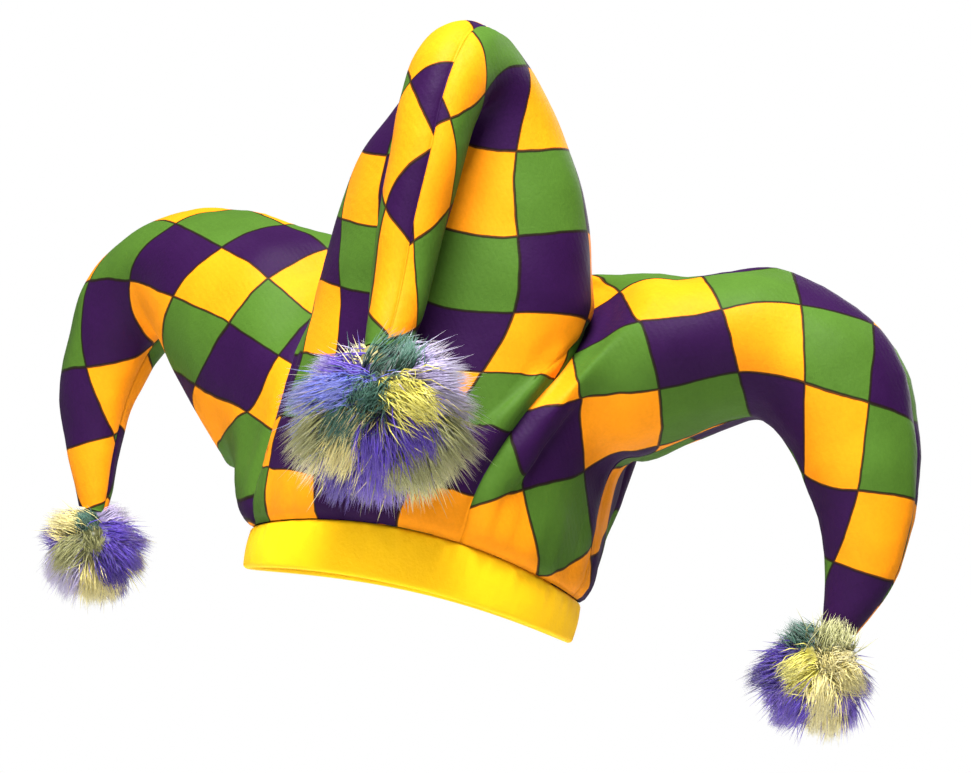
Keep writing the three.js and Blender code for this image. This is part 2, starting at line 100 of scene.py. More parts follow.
def along(rows, t):
    """A cubic through the rows of a table, t from 0 to 1: each stretch leaves a row in the direction that
    joins the rows on either side of it."""
    rows = np.asarray(rows, float)
    x = np.clip(t, 0, 1) * (len(rows) - 1)
    i = np.minimum(x.astype(int), len(rows) - 2)
    f = (x - i)[..., None]
    ends = np.concatenate([[2 * rows[0] - rows[1]], rows, [2 * rows[-1] - rows[-2]]])
    p0, p1, p2, p3 = (ends[i + k] for k in range(4))
    m1, m2 = (p2 - p0) / 2, (p3 - p1) / 2
    return ((2 * f**3 - 3 * f**2 + 1) * p1 + (f**3 - 2 * f**2 + f) * m1
            + (3 * f**2 - 2 * f**3) * p2 + (f**3 - f**2) * m2)


def on_band(deg, z, share=1.0):
    """The band's middle line: an ellipse of the half sizes MID_X and MID_Y times share, at height z."""
    a = np.radians(deg)
    x, y = MID_X * share * np.sin(a), -MID_Y * share * np.cos(a)
    return np.stack(np.broadcast_arrays(x, y, z), -1)


def arch(deg):
    """The square of the cosine of the angle from where the rim is highest."""
    return np.cos(np.radians(deg - RIM_TWIST)) ** 2


def rim_at(deg):
    """Height of the band's lower edge, which rises a little at front and back."""
    return RIM_RISE * arch(deg)


def band_top_at(deg):
    """Height of the band's upper edge: the lower edge and the band's own height, greatest where the rim
    is."""
    return rim_at(deg) + BAND_SIDE_HEIGHT + (BAND_HEIGHT - BAND_SIDE_HEIGHT) * arch(deg)


def on_foot(deg):
    """The crown's lower edge: the band's middle line a little larger, a gap above the band."""
    return on_band(deg, band_top_at(deg) + FOOT_GAP, 1 + FOOT_OUT / MID_X)


def on_eye(deg):
    """The small round opening where the seams meet on top."""
    a = np.radians(deg)
    return EYE + CROWN_EYE * np.stack([np.sin(a), -np.cos(a), 0 * a], -1)


def valley(which, side, w):
    """A valley from the band, w = 0, to the eye, w = 1: a cubic through its rows, set back towards the
    eye."""
    angle, rows = which
    out, up, turn = np.array(rows, float).T
    deg = side * (angle + turn)
    pts = on_band(deg, up * CROWN_TOP, out)
    pts[0] = on_foot(deg[0])
    pts[:, 1] += CROWN_TOP_BACK * ease(np.arange(len(rows)) / len(rows))
    return along(np.vstack([pts, on_eye(np.float64(side * angle))]), w)


def make_point(angle, reach, top, width, drift, lean, sections, hands, twist=0.0):
    """The sizes of one point, with its direction from its angle round the head: 0 is the front and 90 the
    right."""
    a = np.radians(angle)
    way = np.array([np.sin(a), -np.cos(a), 0])
    return dict(angle=angle, dir=way, side=np.array([-way[1], way[0], 0]), reach=reach, top=top, width=width,
                drift=drift, lean=lean, sections=sections, hands=hands, twist=twist)


FRONT = make_point(0, FRONT_REACH, FRONT_TOP, FRONT_WIDTH, FRONT_DRIFT, 0.25, FRONT_SECTIONS,
                   {1: (FRONT_RIGHT_VALLEY, 1), -1: (FRONT_LEFT_VALLEY, -1)}, FRONT_TWIST)
RIGHT = make_point(90 + SIDE_TURN, RIGHT_REACH, RIGHT_TOP, SIDE_WIDTH, 0, 0.3, RIGHT_SECTIONS,
                   {1: (BACK_VALLEY, 1), -1: (FRONT_RIGHT_VALLEY, 1)})
LEFT = make_point(-90 - SIDE_TURN, LEFT_REACH, LEFT_TOP, SIDE_WIDTH, 0, 0.7, LEFT_SECTIONS,
                  {1: (FRONT_LEFT_VALLEY, -1), -1: (BACK_VALLEY, -1)})


def section(p, t):
    """Centre, outward direction, half depth, half width and path direction of a point's section at t."""
    q = along(p["sections"], t)
    up = np.array([0, 0, 1.0])
    a = q[..., 0:1] * p["reach"] * p["dir"] + q[..., 1:2] * p["top"] * up
    b = q[..., 2:3] * p["reach"] * p["dir"] + q[..., 3:4] * p["top"] * up
    outward = unit(a - b)
    centre = (a + b) / 2 + q[..., 5:6] * p["drift"] * p["side"]
    way = unit(np.cross(np.broadcast_to(p["side"], outward.shape), outward))
    return centre, outward, np.linalg.norm(a - b, axis=-1) / 2, q[..., 4] * p["width"], way


TWIST_FROM, TWIST_OVER = 0.15, 0.55  # where along a point its twist starts, and over how much of it


def on_section(p, hand, t, v):
    """Half an ellipse round the section at t, v from 0 at the inner seam to 1 at the outer seam. The end of
    a point may be twisted, so that its outer seam lies to one side."""
    c, outward, depth, width = section(p, t)[:4]
    a = (hand * np.pi * v - p["twist"] * ease((np.asarray(t) - TWIST_FROM) / TWIST_OVER))[..., None]
    return c - np.cos(a) * depth[..., None] * outward + np.sin(a) * width[..., None] * p["side"]


# How the cloth leaves the crown, which rounds in above ROUND_FROM, a share of its height. At the band it
# spreads to the point's sides by SPREAD, and along a valley it leaves at OPEN_LOW to OPEN_HIGH degrees from
# straight out
ROUND_FROM, SPREAD, OPEN_LOW, OPEN_HIGH = 0.35, 0.9, 86, 50
# How far it runs on before it turns: shares of the gap to the first section, from the band, from a valley
# and back from the section, and the most along a valley as a share of the room there
RUN_BAND, RUN_VALLEY, RUN_BACK, RUN_ROOM = 0.4, 0.3, 0.33, 0.8


def leaving(p, hand, v, a):
    """The direction and the share of the way in which the cloth leaves its root: up from the band, and away
    from the valleys at an angle that closes from almost flat at the band to OPEN_HIGH above it."""
    which, x = p["hands"][hand]
    middle = CROWN_TOP * ROUND_FROM
    high = np.maximum(a[:, 2] - middle, 0) / (CROWN_TOP - middle) ** 2
    outward = unit(np.stack([a[:, 0] / MID_X**2, a[:, 1] / MID_Y**2, high], -1))

    def own(t):
        """The direction in the cloth square to t, on the side to which the point leads."""
        e = unit(np.cross(outward, t))
        return np.where((e @ p["dir"])[:, None] < 0, -e, e)

    j = v * RING_CELLS
    up = np.broadcast_to([0, 0, 1.0], a.shape)
    e = own(up) * (SPREAD * np.minimum(j / BAND_SHARE, 1) ** 2)[:, None]
    low = unit(up + p["lean"] * outward + e)
    w = np.clip((j - BAND_SHARE) / (RING_CELLS - 1 - BAND_SHARE), 0, 1)
    t = valley(which, x, np.minimum(w + 0.02, 1)) - valley(which, x, np.maximum(w - 0.02, 0))
    opening = np.radians(OPEN_LOW + (OPEN_HIGH - OPEN_LOW) * ease(w * 2.5))[:, None]
    high_way = unit(own(unit(t)) * np.sin(opening) + outward * np.cos(opening))
    over = ease(w / 0.2)[:, None]
    return unit(low + (high_way - low) * over), over[:, 0]


def half_point(p, hand, root_rows, rows, cells):
    """Middle surface of half a point, rows from the root to the tip. At the root each line is a cubic from
    the crown's edge to the first section; beyond it, half ellipses follow the sections."""
    v = np.linspace(0, 1, cells + 1)
    which, x = p["hands"][hand]
    j = v * RING_CELLS
    foot = on_foot(p["angle"] + (x * which[0] - p["angle"]) * np.minimum(j / BAND_SHARE, 1))
    rise = valley(which, x, (j - BAND_SHARE) / (RING_CELLS - 1 - BAND_SHARE))
    last = np.clip(j - (RING_CELLS - 1), 0, 1)[:, None]
    end = on_eye(x * which[0] + (p["angle"] - x * which[0]) * last[:, 0])
    a = np.where((j <= BAND_SHARE)[:, None], foot, np.where(last > 0, end, rise))
    d = on_section(p, hand, np.zeros(len(v)), v)
    gap = np.linalg.norm(d - a, axis=1)
    way, over = leaving(p, hand, v, a)
    way = unit(way + (unit(d - a) - way) * ease(last))
    room = np.abs((a - EYE) @ p["side"])
    reach = gap * RUN_BAND + (np.minimum(gap * RUN_VALLEY, room * RUN_ROOM) - gap * RUN_BAND) * over
    reach = reach + (gap * RUN_VALLEY - reach) * ease(last[:, 0])
    b = a + way * reach[:, None]
    c = d - section(p, np.zeros(1))[4] * (gap * RUN_BACK)[:, None]
    t = np.linspace(0, 1, root_rows + 1)[:-1, None, None]
    root = (1 - t) ** 3 * a + 3 * (1 - t) ** 2 * t * b + 3 * (1 - t) * t**2 * c + t**3 * d
    s, vv = np.meshgrid(np.linspace(0, 1, rows + 1), v, indexing="ij")
    return np.concatenate([root, on_section(p, hand, s, vv)])


# The back: how far it stands out, as a share of its width, and how soon and how far, in radians, it turns
# upward
BACK_OUT, BACK_SOON, BACK_TURN = 0.34, 1.4, 0.8


def back_panel(rows, cells):
    """Middle surface of the crown's back: between the two back valleys, each row an arc that stands out by
    a share of the distance between them."""
    angle = BACK_VALLEY[0]
    w = np.linspace(0, 1, rows + 1)[:, None]
    deg = np.linspace(angle, 360 - angle, cells + 1)[None]
    full = np.cos(np.radians(180 - angle))
    right = valley(BACK_VALLEY, 1, w[:, 0])[:, None]
    arc = (np.cos(np.radians(180 - deg)) - full) / (1 - full)
    foot = MID_Y * (1 - full) * (1 + FOOT_OUT / MID_X)
    bulge = foot + (BACK_OUT * 2 * right[..., 0] - foot) * ease(w)
    up = ease(np.minimum(w * BACK_SOON, 1)) * BACK_TURN
    x = right[..., 0] * np.sin(np.radians(deg)) / np.sin(np.radians(angle))
    y = right[..., 1] + arc * bulge * np.cos(up)
    z = right[..., 2] + arc * bulge * np.sin(up) * w
    base = on_foot(deg[0])
    z = z + (base[:, 2] - z[0]) * (1 - ease(w * 3))
    return np.stack([x, y, z], -1)


def relax(grid, rounds):
    """Moves each inner point a little towards the middle of its four neighbours, and each point of the two
    long seams towards the middle of its two neighbours along the seam."""
    g, little = grid.copy(), 0.6
    for _ in range(rounds):
        inner = (g[:-2, 1:-1] + g[2:, 1:-1] + g[1:-1, :-2] + g[1:-1, 2:]) / 4
        edge = (g[:-2, ::g.shape[1] - 1] + g[2:, ::g.shape[1] - 1]) / 2
        g[1:-1, 1:-1] += little * (inner - g[1:-1, 1:-1])
        g[1:-1, ::g.shape[1] - 1] += little * (edge - g[1:-1, ::g.shape[1] - 1])
    return g


def triangles_of(rows, cols):
    """Two triangles for each cell of a grid of points."""
    a = (np.arange(rows - 1)[:, None] * cols + np.arange(cols - 1)).ravel()
    return np.concatenate([np.stack([a, a + cols, a + cols + 1], 1), np.stack([a, a + cols + 1, a + 1], 1)])


def flatten(grid, rounds=60):
    """Lays a grid of points flat with as little stretch as it can, as the cloth was before it was sewn:
    each triangle is turned to fit its own flat copy, then all points are solved for together, over and
    over."""
    rows, cols = grid.shape[:2]
    tri = triangles_of(rows, cols)
    p = grid.reshape(-1, 3)
    e1, e2 = p[tri[:, 1]] - p[tri[:, 0]], p[tri[:, 2]] - p[tri[:, 0]]
    l1 = np.maximum(np.linalg.norm(e1, axis=1), 1e-6)
    x2 = (e1 * e2).sum(1) / l1
    y2 = np.linalg.norm(np.cross(e1, e2), axis=1) / l1
    flat = np.zeros((len(tri), 3, 2))
    flat[:, 1, 0], flat[:, 2, 0], flat[:, 2, 1] = l1, x2, y2
    n = len(p)
    lap = np.zeros((n, n))
    sides = ((0, 1, 2), (1, 2, 0), (2, 0, 1))
    cots = []
    for a, b, c in sides:
        u, w = flat[:, a] - flat[:, c], flat[:, b] - flat[:, c]
        cross = np.abs(u[:, 0] * w[:, 1] - u[:, 1] * w[:, 0])
        cot = np.clip((u * w).sum(1) / np.maximum(cross, 1e-9), 0.02, 5)
        cots.append(cot)
        i, k = tri[:, a], tri[:, b]
        for r, s, sign in ((i, i, 1), (k, k, 1), (i, k, -1), (k, i, -1)):
            np.add.at(lap, (r, s), sign * cot)
    lap[0, 0] += 1
    inverse = np.linalg.inv(lap)
    du = np.linalg.norm(np.diff(grid, axis=0), axis=2).mean(1)
    dv = np.linalg.norm(np.diff(grid, axis=1), axis=2)
    u = np.concatenate([[0], np.cumsum(du)])[:, None] * np.ones(cols)
    v = np.concatenate([np.zeros((rows, 1)), np.cumsum(dv, 1)], 1)
    uv = np.stack([v - v[:, -1:], u], -1).reshape(-1, 2)
    for _ in range(rounds):
        rhs = np.zeros((n, 2))
        m = np.zeros((len(tri), 2, 2))
        for (a, b, c), cot in zip(sides, cots):
            moved = cot[:, None, None] * (uv[tri[:, a]] - uv[tri[:, b]])[:, :, None]
            m += moved * (flat[:, a] - flat[:, b])[:, None]
        angle = np.arctan2(m[:, 1, 0] - m[:, 0, 1], m[:, 0, 0] + m[:, 1, 1])
        rot = np.stack([np.cos(angle), -np.sin(angle), np.sin(angle), np.cos(angle)], -1).reshape(-1, 2, 2)
        for (a, b, c), cot in zip(sides, cots):
            e = cot[:, None] * np.einsum("nij,nj->ni", rot, flat[:, a] - flat[:, b])
            np.add.at(rhs, tri[:, a], e)
            np.add.at(rhs, tri[:, b], -e)
        uv = inverse @ rhs
    return uv.reshape(rows, cols, 2)


def resample(table, rows, cols):
    """A grid of values read again at more rows and columns, by the same cubic both ways."""
    t = along(table.reshape(len(table), -1), np.linspace(0, 1, rows)).reshape(rows, *table.shape[1:])
    t = along(t.swapaxes(0, 1).reshape(table.shape[1], -1), np.linspace(0, 1, cols))
    return t.reshape(cols, rows, *table.shape[2:]).swapaxes(0, 1)


# Print and cloth
CELL = 42.5  # side of one square of the print
SHEET_HALF = 1.3  # half the thickness of the foam-backed cloth
THIN_OVER = 3  # distance over which its edges thin to a rounded seam
EASE_REACH = 45  # reach of one place where the print is eased
COARSE, FINE = 12, 60  # cells over half a point's girth: for flattening, and for the finished piece
FINER = FINE // COARSE


def waves(p, length, seed, terms=9):
    """The mean of a few sine waves with seeded directions through the places p, so it runs on over seams.
    length is the usual wavelength in millimetres, and the result lies mostly between -1 and 1."""
    rng = np.random.default_rng(seed)
    total = 0
    for _ in range(terms):
        way = unit(rng.normal(size=3))
        k = 2 * np.pi / (length * rng.uniform(0.7, 1.5))
        total = total + np.sin(p @ way * k + rng.uniform(0, 2 * np.pi))
    return total / np.sqrt(terms)


def normals_of(grid):
    """Unit normals of a grid of points: the cross product of its two directions."""
    du, dv = np.gradient(grid, axis=0), np.gradient(grid, axis=1)
    return unit(np.cross(du, dv))


def from_edge(grid):
    """For each point of a grid, how far along the cloth each of its two long seams is."""
    dv = np.linalg.norm(np.diff(grid, axis=1), axis=2)
    across = np.concatenate([np.zeros((len(grid), 1)), np.cumsum(dv, 1)], 1)
    return across, across[:, -1:] - across


# Drape of the cloth, in millimetres. Beside each seam: the height, distance and half width of a soft roll,
# the depth and width of the seam's own dip, and the height, reach, start and wavelength of its puckers
ROLL_HIGH, ROLL_AT, ROLL_WIDE, DIP_DEEP, DIP_WIDE = 1.1, 9, 6, 1.2, 3
PUCKER_HIGH, PUCKER_REACH, PUCKER_START, PUCKER_LONG = 0.5, 9, 2, 11
# Slow waves: two wavelengths and the share of the second; rows narrower than FULL_WIDTH are smoother, down
# to the share LEAST
SLOW_WAVE, QUICK_WAVE, QUICK_SHARE, FULL_WIDTH, LEAST = 75, 34, 0.45, 110, 0.2
# Over the band: height and distance of the bulge, and of the gathers, and how many gathers go round the
# head, each with where it starts, and their usual sum
BULGE_HIGH, BULGE_AT, GATHER_HIGH, GATHER_AT, GATHER_REACH = 2.4, 11, 0.8, 8, 9
GATHERS, GATHER_SUM = ((17, 0.4), (29, 2.1), (41, 1.2), (53, 4.0)), 2.4
# The cloth stays where it is sewn: distances over which it comes loose from the band and from a seam
LOOSE_BAND, LOOSE_SEAM = 4, 2.5


def drape(grid, outward, seams, foot, lumps, width):
    """Moves the cloth in and out along its normals: drawn in to each seam with a soft roll beside it,
    gathered and bulging over the band, and with slow soft waves. seams gives the distances to its seams,
    foot the distance to the band, lumps the size of the waves, and width the length of each row, because
    narrow ends are smoother."""
    near = np.minimum.reduce(seams)
    lift = ROLL_HIGH * np.exp(-((near - ROLL_AT) / ROLL_WIDE) ** 2)
    lift = lift - DIP_DEEP * np.exp(-((near / DIP_WIDE) ** 2))
    pucker = PUCKER_HIGH * np.exp(-near / PUCKER_REACH) * (1 - np.exp(-near / PUCKER_START))
    lift = lift + pucker * waves(grid, PUCKER_LONG, 7)
    lift = lift + lumps * waves(grid, SLOW_WAVE, 3) + QUICK_SHARE * lumps * waves(grid, QUICK_WAVE, 5)
    lift = lift * np.clip(width / FULL_WIDTH, LEAST, 1)
    girth = np.degrees(np.arctan2(grid[..., 0] / MID_X, -grid[..., 1] / MID_Y))
    pleat = sum(np.sin(np.radians(girth * k) + f) for k, f in GATHERS) / GATHER_SUM
    bulge = BULGE_HIGH * foot / BULGE_AT * np.exp(1 - foot / BULGE_AT)
    gather = GATHER_HIGH * pleat * foot / GATHER_AT * np.exp(1 - foot / GATHER_REACH)
    loose = 1 - np.exp(-((foot / LOOSE_BAND) ** 2))
    loose = loose * (1 - np.exp(-((near / LOOSE_SEAM) ** 2)))
    return grid + outward * (lift * loose + bulge + gather * loose)[..., None]


def closed_sheet(middle, outward, edge):
    """Points and faces of a closed sheet: the middle surface moved half the thickness out and in along its
    normals, thinning in a quarter circle before each edge, with a narrow strip round the border."""
    half = SHEET_HALF * np.sqrt(np.clip(1 - (1 - np.clip(edge / THIN_OVER, 0, 1)) ** 2, 0.03, 1))
    out, back = middle + outward * half[..., None], middle - outward * half[..., None]
    rows, cols = middle.shape[:2]
    index = np.arange(rows * cols).reshape(rows, cols)
    a, b, c, d = index[:-1, :-1], index[1:, :-1], index[1:, 1:], index[:-1, 1:]
    front = np.stack([a, b, c, d], -1).reshape(-1, 4)
    rear = front[:, ::-1] + rows * cols
    ring = np.concatenate([index[:-1, 0], index[-1, :-1], index[:0:-1, -1], index[0, :0:-1]])
    after = np.roll(ring, -1)
    rim = np.stack([ring, ring + rows * cols, after + rows * cols, after], -1)
    points = np.concatenate([out.reshape(-1, 3), back.reshape(-1, 3)])
    return points, np.concatenate([front, rear, rim[:, ::-1]])


def build(name, points, faces, material, uv=None, colour=None):
    """A mesh object from arrays: points in millimetres, faces of one size, the print's places and a colour
    at each point."""
    faces = np.asarray(faces, np.int32)
    mesh = bpy.data.meshes.new(name)
    mesh.vertices.add(len(points))
    mesh.vertices.foreach_set("co", (np.asarray(points, np.float32) / 1000).ravel())
    mesh.loops.add(faces.size)
    mesh.loops.foreach_set("vertex_index", faces.ravel())
    mesh.polygons.add(len(faces))
    mesh.polygons.foreach_set("loop_start", np.arange(0, faces.size, faces.shape[1], dtype=np.int32))
    mesh.polygons.foreach_set("use_smooth", np.ones(len(faces), bool))
    mesh.update(calc_edges=True)
    mesh.validate()
    if uv is not None:
        layer = mesh.uv_layers.new(name="print")
        layer.data.foreach_set("uv", np.asarray(uv, np.float32)[faces.ravel()].ravel())
    if colour is not None:
        layer = mesh.color_attributes.new("pile", "FLOAT_COLOR", "POINT")
        layer.data.foreach_set("color", np.c_[colour, np.ones(len(colour))].astype(np.float32).ravel())
    mesh.materials.append(material)
    piece = bpy.data.objects.new(name, mesh)
    bpy.context.scene.collection.objects.link(piece)
    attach(piece, "root")
    return piece


def placed(flat, turn, shift, flip, eased=()):
    """Places in the print, in squares: the flat cloth turned and shifted, and turned over where flip is -1.
    Each eased row (x, y, du, dv) slides the print by du, dv squares round the flat place x, y, fading as a
    bell curve."""
    z = (flat[..., 0] + 1j * flat[..., 1]) / CELL
    z = z if flip > 0 else np.conj(z)
    w = z * np.exp(1j * np.radians(turn)) + complex(*shift)
    for x, y, du, dv in eased:
        away = (flat[..., 0] - x) ** 2 + (flat[..., 1] - y) ** 2
        w = w + complex(du, dv) * np.exp(-away / (2 * EASE_REACH**2))
    return np.stack([w.real, w.imag], -1)


def cloth(name, coarse, fine, flip, material, printing, lumps, seams):
    """One cut piece of printed cloth, sewn into the hat. coarse is laid flat for the print, fine is
    draped."""
    flat = flatten(coarse)
    rows, cols = fine.shape[:2]
    uv = printing(resample(flat, rows, cols), fine)
    grid = relax(fine, 3)
    across, other = from_edge(grid)
    near = [np.where(np.isin("low", seams), across, 1e3), np.where(np.isin("high", seams), other, 1e3)]
    near.append(valley_distance(grid, name))
    outward = normals_of(grid) * flip
    draped = drape(grid, outward, near, foot_distance(grid), lumps, across[:, -1:])
    outward = normals_of(draped) * flip
    edge = np.minimum.reduce(near + [foot_distance(grid) + 0.2])
    points, faces = closed_sheet(draped, outward, edge)
    if flip < 0:
        faces = faces[:, ::-1]
    piece = build(name + "_cloth", points, faces, material, np.concatenate([uv, uv]).reshape(-1, 2))
    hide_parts(name)
    return piece


def foot_distance(grid):
    """How far each point of the cloth is from the crown's lower edge."""
    deg = np.degrees(np.arctan2(grid[..., 0] / MID_X, -grid[..., 1] / MID_Y))
    high = np.maximum(grid[..., 2] - band_top_at(deg) - FOOT_GAP, 0)
    wide = np.maximum(np.hypot(grid[..., 0] / MID_X, grid[..., 1] / MID_Y) - 1 - FOOT_OUT / MID_X, 0) * MID_X
    return np.hypot(high, np.maximum(wide - high * 0.5, 0))


def valley_distance(grid, name):
    """How far each point of the cloth is from the nearest valley seam."""
    w = np.linspace(0, 1, 60)
    sides = {"front_point_right": [(FRONT_RIGHT_VALLEY, 1)], "front_point_left": [(FRONT_LEFT_VALLEY, -1)],
             "right_point_front": [(FRONT_RIGHT_VALLEY, 1)], "right_point_back": [(BACK_VALLEY, 1)],
             "left_point_front": [(FRONT_LEFT_VALLEY, -1)], "left_point_back": [(BACK_VALLEY, -1)],
             "back_panel": [(BACK_VALLEY, 1), (BACK_VALLEY, -1)]}[name]
    best = np.full(grid.shape[:2], 1e6)
    for which, side in sides:
        line = valley(which, side, w)
        for a, b in zip(line[:-1], line[1:]):
            t = np.clip(((grid - a) @ (b - a)) / ((b - a) @ (b - a) + 1e-9), 0, 1)
            best = np.minimum(best, np.linalg.norm(grid - a - t[..., None] * (b - a), axis=-1))
    return best


# Materials
def linear(code):
    """The linear colour of an sRGB hex value."""
    c = np.array([int(code[i:i + 2], 16) for i in (1, 3, 5)]) / 255
    return np.where(c <= 0.04045, c / 12.92, ((c + 0.055) / 1.055) ** 2.4)


def rgba(code):
    """The same colour with full alpha, as node sockets take it."""
    return (*linear(code), 1.0)


class Finish:
    """A node material under construction."""

    def __init__(self, name, **shader):
        """A new material, with values for its shader's inputs by their names."""
        self.material = bpy.data.materials.new(name)
        self.material.use_nodes = True
        self.tree = self.material.node_tree
        self.shader = self.tree.nodes["Principled BSDF"]
        for key, value in shader.items():
            self.shader.inputs[key.replace("_", " ")].default_value = value

    def add(self, kind, settings=None, **links):
        """Adds a node with its settings; each link is an input's number, as i0 or i1, with a socket or a
        value."""
        node = self.tree.nodes.new("ShaderNode" + kind)
        for key, value in (settings or {}).items():
            setattr(node, key, value)
        for key, value in links.items():
            socket = node.inputs[int(key[1:])]
            if isinstance(value, bpy.types.NodeSocket):
                self.tree.links.new(value, socket)
            else:
                socket.default_value = value
        return node

    def paint(self, colour, roughness=None, height=None, distance=0.0003, strength=1.0):
        """Links colour, roughness and a height, as bump, to the shader; gives the finished material."""
        self.tree.links.new(colour, self.shader.inputs["Base Color"])
        if roughness is not None:
            self.tree.links.new(roughness, self.shader.inputs["Roughness"])
        if height is not None:
            bump = self.add("Bump", i0=strength, i1=distance)
            self.tree.links.new(height, bump.inputs["Height"])
            self.tree.links.new(bump.outputs[0], self.shader.inputs["Normal"])
        return self.material


# Scales of the patterns, in repeats per metre. Diagonal ribs repeat every 0.363 m over their scale, so
# these lie 2.9 mm apart. A noise scale is about 1 over the size of its lumps: 18 mm of foam, 1.4 mm of
# knit, 36 and 31 mm of fading, 1.9 mm of print grain, 1.1 mm of pile
RIB_SCALE, FOAM_SCALE, KNIT_SCALE = 1 / 1.3 * 1000 * 0.16, 55.0, 700.0
FADE_SCALE, BAND_FADE_SCALE, GRAIN_SCALE, PILE_SCALE = 28.0, 32.0, 520.0, 900.0
OUTLINE_FROM, OUTLINE_FULL, OUTLINE_INK = 0.475, 0.488, 0.92  # shares of a square, and how dark the line is


def cloth_height(f, place, rib=0.2):
    """Knit ribs, coarser than the real 0.4 mm so that they show, with fine knit and slow unevenness of the
    foam."""
    ribs = f.add("TexWave", {"bands_direction": "DIAGONAL"}, i0=place, i1=RIB_SCALE, i2=1.5, i3=2.0)
    uneven = f.add("TexNoise", i0=place, i2=FOAM_SCALE, i3=3.0, i4=0.55)
    knit = f.add("TexNoise", i0=place, i2=KNIT_SCALE, i3=2.0, i4=0.6)
    soft = f.add("Math", {"operation": "MULTIPLY_ADD"}, i0=uneven.outputs[0], i1=4.0, i2=knit.outputs[0])
    high = f.add("Math", {"operation": "MULTIPLY_ADD"}, i0=ribs.outputs["Fac"], i1=rib, i2=soft.outputs[0])
    return high.outputs[0]


def printed_polyester():
    """Brushed polyester knit on thin foam, dye-printed: nearly matt, three flat colours, dark drawn
    outlines."""
    f = Finish("dye_printed_brushed_polyester_knit_on_foam", Roughness=0.58, Sheen_Weight=0.01,
               Sheen_Roughness=0.5, IOR=1.46, Specular_IOR_Level=0.08)
    place = f.add("TexCoord").outputs["Object"]
    uv = f.add("UVMap", {"uv_map": "print"}).outputs[0]
    wobble = f.add("TexNoise", i0=uv, i2=2.2, i3=2.0, i4=0.5)
    shift = f.add("VectorMath", {"operation": "MULTIPLY_ADD"}, i0=wobble.outputs["Color"],
                  i1=(0.05, 0.05, 0.0), i2=uv)
    places = f.add("SeparateXYZ", i0=shift.outputs[0]).outputs[:2]
    # Squares: the sum of the whole parts, counted in threes, picks the dye
    row, column = (f.add("Math", {"operation": "FLOOR"}, i0=w).outputs[0] for w in places)
    both = f.add("Math", {"operation": "ADD"}, i0=row, i1=column).outputs[0]
    which = f.add("Math", {"operation": "FLOORED_MODULO"}, i0=both, i1=3.0).outputs[0]
    third = f.add("Math", {"operation": "MULTIPLY_ADD"}, i0=which, i1=0.33, i2=0.1).outputs[0]
    ramp = f.add("ValToRGB", i0=third)
    ramp.color_ramp.interpolation = "CONSTANT"
    stops = ramp.color_ramp.elements
    stops[0].position, stops[0].color = 0.0, rgba("#270A36")
    stops[1].position, stops[1].color = 0.33, rgba("#E68A0C")
    last = stops.new(0.66)
    last.color = rgba("#41621F")
    # Drawn outlines about 1.6 mm wide, with soft bled edges, by the distance from the middle of a square
    off = []
    for w in places:
        part = f.add("Math", {"operation": "FRACT"}, i0=w).outputs[0]
        middle = f.add("Math", {"operation": "SUBTRACT"}, i0=part, i1=0.5).outputs[0]
        off.append(f.add("Math", {"operation": "ABSOLUTE"}, i0=middle).outputs[0])
    reach = f.add("Math", {"operation": "MAXIMUM"}, i0=off[0], i1=off[1]).outputs[0]
    line = f.add("MapRange", {"interpolation_type": "SMOOTHSTEP"}, i0=reach, i1=OUTLINE_FROM,
                 i2=OUTLINE_FULL, i3=0.0, i4=1.0)
    ink = f.add("Math", {"operation": "MULTIPLY"}, i0=line.outputs[0], i1=OUTLINE_INK)
    # Dye a little faded and mottled
    fade = f.add("TexNoise", i0=place, i2=FADE_SCALE, i3=3.0, i4=0.6)
    grain = f.add("TexNoise", i0=place, i2=GRAIN_SCALE, i3=2.0, i4=0.7)
    mottle = f.add("Math", {"operation": "MULTIPLY_ADD"}, i0=grain.outputs[0], i1=0.5, i2=fade.outputs[0])
    tone = f.add("MapRange", i0=mottle.outputs[0], i1=0.5, i2=1.0, i3=0.84, i4=1.06)
    worn = f.add("Mix", {"data_type": "RGBA", "blend_type": "MULTIPLY"}, i0=1.0, i6=ramp.outputs[0],
                 i7=tone.outputs[0])
    drawn = f.add("Mix", {"data_type": "RGBA"}, i0=ink.outputs[0], i6=worn.outputs[2], i7=rgba("#1A0E0C"))
    rough = f.add("Math", {"operation": "MULTIPLY_ADD"}, i0=fade.outputs[0], i1=0.16, i2=0.5)
    return f.paint(drawn.outputs[2], rough.outputs[0], cloth_height(f, place), 0.00035, 0.5)


def plain_polyester():
    """The same brushed polyester, dyed plain yellow: an even, nearly matt surface."""
    f = Finish("plain_yellow_brushed_polyester_knit", Roughness=0.6, Sheen_Weight=0.01, Sheen_Roughness=0.5,
               IOR=1.46, Specular_IOR_Level=0.08)
    place = f.add("TexCoord").outputs["Object"]
    fade = f.add("TexNoise", i0=place, i2=BAND_FADE_SCALE, i3=3.0, i4=0.6)
    mix = f.add("Mix", {"data_type": "RGBA"}, i0=fade.outputs[0], i6=rgba("#F2B410"), i7=rgba("#FFCA14"))
    rough = f.add("Math", {"operation": "MULTIPLY_ADD"}, i0=fade.outputs[0], i1=0.16, i2=0.52)
    return f.paint(mix.outputs[2], rough.outputs[0], cloth_height(f, place, 0.05), 0.0004, 0.5)


